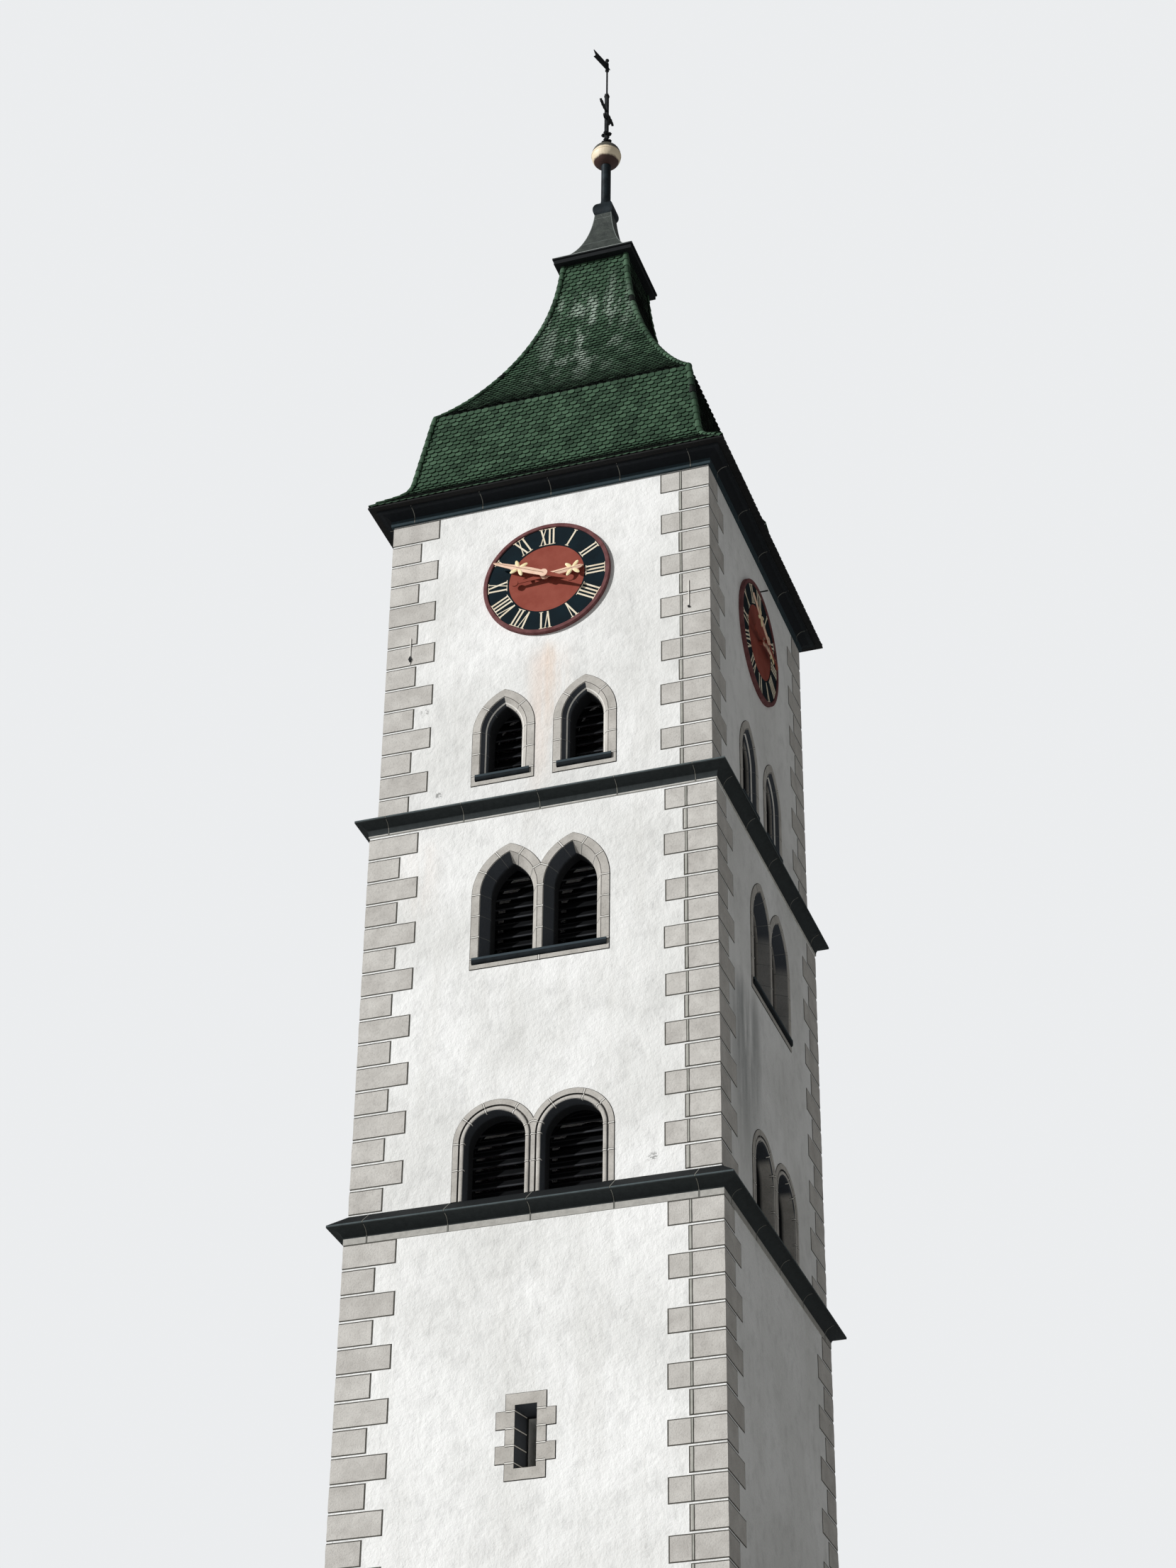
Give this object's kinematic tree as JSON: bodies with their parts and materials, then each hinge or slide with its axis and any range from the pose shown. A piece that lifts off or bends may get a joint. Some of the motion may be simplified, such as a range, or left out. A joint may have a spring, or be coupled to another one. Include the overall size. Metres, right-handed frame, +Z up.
{
  "type": "clock tower scale model, 1:2",
  "caption": "Square clock tower at half size: plastered walls, louvred windows, a dial with turning hands on every side, stone cornices and a bell-shaped tiled roof with cross and vane.",
  "frame": {"origin": "centre of the square base, on the ground", "axes": "+Z up, +X to the right along the front, +Y from the front to the back; the front looks along -Y"},
  "size_m": [3.95, 3.95, 29.7057],
  "materials": {
    "wall_plaster": "rough lime plaster, whitewashed, matt",
    "dressed_stone": "tooled stone with a limewash, matt",
    "cornice_stone": "weathered dark stone, matt",
    "roof_tile": "weathered green tile, semi-matt",
    "timber": "bare weathered boards",
    "louvre_timber": "dark stained boards, matt",
    "sheet_metal": "weathered grey sheet",
    "painted_orb": "weathered paint and gilding",
    "dial_enamel": "painted sheet, semi-gloss",
    "ring_paint": "faded paint, matt",
    "gilt": "gilded, worn",
    "iron": "wrought iron, weathered"
  },
  "bodies": {
    "tower": {"belfry_back_wall": "wall_plaster", "belfry_front_wall": "wall_plaster", "belfry_left_wall": "wall_plaster", "belfry_pointed_window_surrounds": "dressed_stone", "belfry_right_wall": "wall_plaster", "belfry_round_window_surrounds": "dressed_stone", "clock_stage_back_wall": "wall_plaster", "clock_stage_front_wall": "wall_plaster", "clock_stage_left_wall": "wall_plaster", "clock_stage_right_wall": "wall_plaster", "clock_stage_window_surrounds": "dressed_stone", "dial_plates": "dial_enamel", "dial_rings": "ring_paint", "door": "timber", "door_surround": "dressed_stone", "eaves_board": "timber", "eaves_cornice": "cornice_stone", "finial_cross": "iron", "finial_pole": "sheet_metal", "ground_floor": "dressed_stone", "lower_cornice": "cornice_stone", "orb": "painted_orb", "plank_floors": "timber", "plinth": "dressed_stone", "roof_lower": "roof_tile", "roof_slab": "cornice_stone", "roof_upper": "roof_tile", "shaft_back_wall": "wall_plaster", "shaft_front_wall": "wall_plaster", "shaft_left_wall": "wall_plaster", "shaft_right_wall": "wall_plaster", "shaft_slit_surrounds": "dressed_stone", "spirelet": "sheet_metal", "spirelet_collar": "sheet_metal", "upper_cornice": "cornice_stone", "vane_rod": "iron", "window_louvres": "louvre_timber", "window_sills": "cornice_stone"},
    "minute_hand_front": {"minute_hand_front": "gilt"},
    "hour_hand_front": {"hour_hand_front": "gilt"},
    "minute_hand_right": {"minute_hand_right": "gilt"},
    "hour_hand_right": {"hour_hand_right": "gilt"},
    "minute_hand_back": {"minute_hand_back": "gilt"},
    "hour_hand_back": {"hour_hand_back": "gilt"},
    "minute_hand_left": {"minute_hand_left": "gilt"},
    "hour_hand_left": {"hour_hand_left": "gilt"},
    "wind_vane": {"wind_vane": "iron"}
  },
  "joints": [
    {"name": "minute_front", "type": "hinge", "parent": "tower", "child": "minute_hand_front", "pos_m": [0, -1.877, 20.415], "axis": [0, 1, 0], "continuous": true},
    {"name": "hour_front", "type": "hinge", "parent": "tower", "child": "hour_hand_front", "pos_m": [0, -1.829, 20.415], "axis": [0, 1, 0], "continuous": true},
    {"name": "minute_right", "type": "hinge", "parent": "tower", "child": "minute_hand_right", "pos_m": [1.877, 0, 20.415], "axis": [-1, 0, 0], "continuous": true},
    {"name": "hour_right", "type": "hinge", "parent": "tower", "child": "hour_hand_right", "pos_m": [1.829, 0, 20.415], "axis": [-1, 0, 0], "continuous": true},
    {"name": "minute_back", "type": "hinge", "parent": "tower", "child": "minute_hand_back", "pos_m": [0, 1.877, 20.415], "axis": [0, -1, 0], "continuous": true},
    {"name": "hour_back", "type": "hinge", "parent": "tower", "child": "hour_hand_back", "pos_m": [0, 1.829, 20.415], "axis": [0, -1, 0], "continuous": true},
    {"name": "minute_left", "type": "hinge", "parent": "tower", "child": "minute_hand_left", "pos_m": [-1.877, 0, 20.415], "axis": [1, 0, 0], "continuous": true},
    {"name": "hour_left", "type": "hinge", "parent": "tower", "child": "hour_hand_left", "pos_m": [-1.829, 0, 20.415], "axis": [1, 0, 0], "continuous": true},
    {"name": "vane_turn", "type": "hinge", "parent": "tower", "child": "wind_vane", "pos_m": [0, 0, 29.5137], "axis": [0, 0, 1], "continuous": true}
  ],
  "couplings": [
    {"joint": "hour_front", "follows": "minute_front", "ratio": 0.083333},
    {"joint": "minute_right", "follows": "minute_front", "ratio": 1},
    {"joint": "hour_right", "follows": "minute_front", "ratio": 0.083333},
    {"joint": "minute_back", "follows": "minute_front", "ratio": 1},
    {"joint": "hour_back", "follows": "minute_front", "ratio": 0.083333},
    {"joint": "minute_left", "follows": "minute_front", "ratio": 1},
    {"joint": "hour_left", "follows": "minute_front", "ratio": 0.083333}
  ]
}
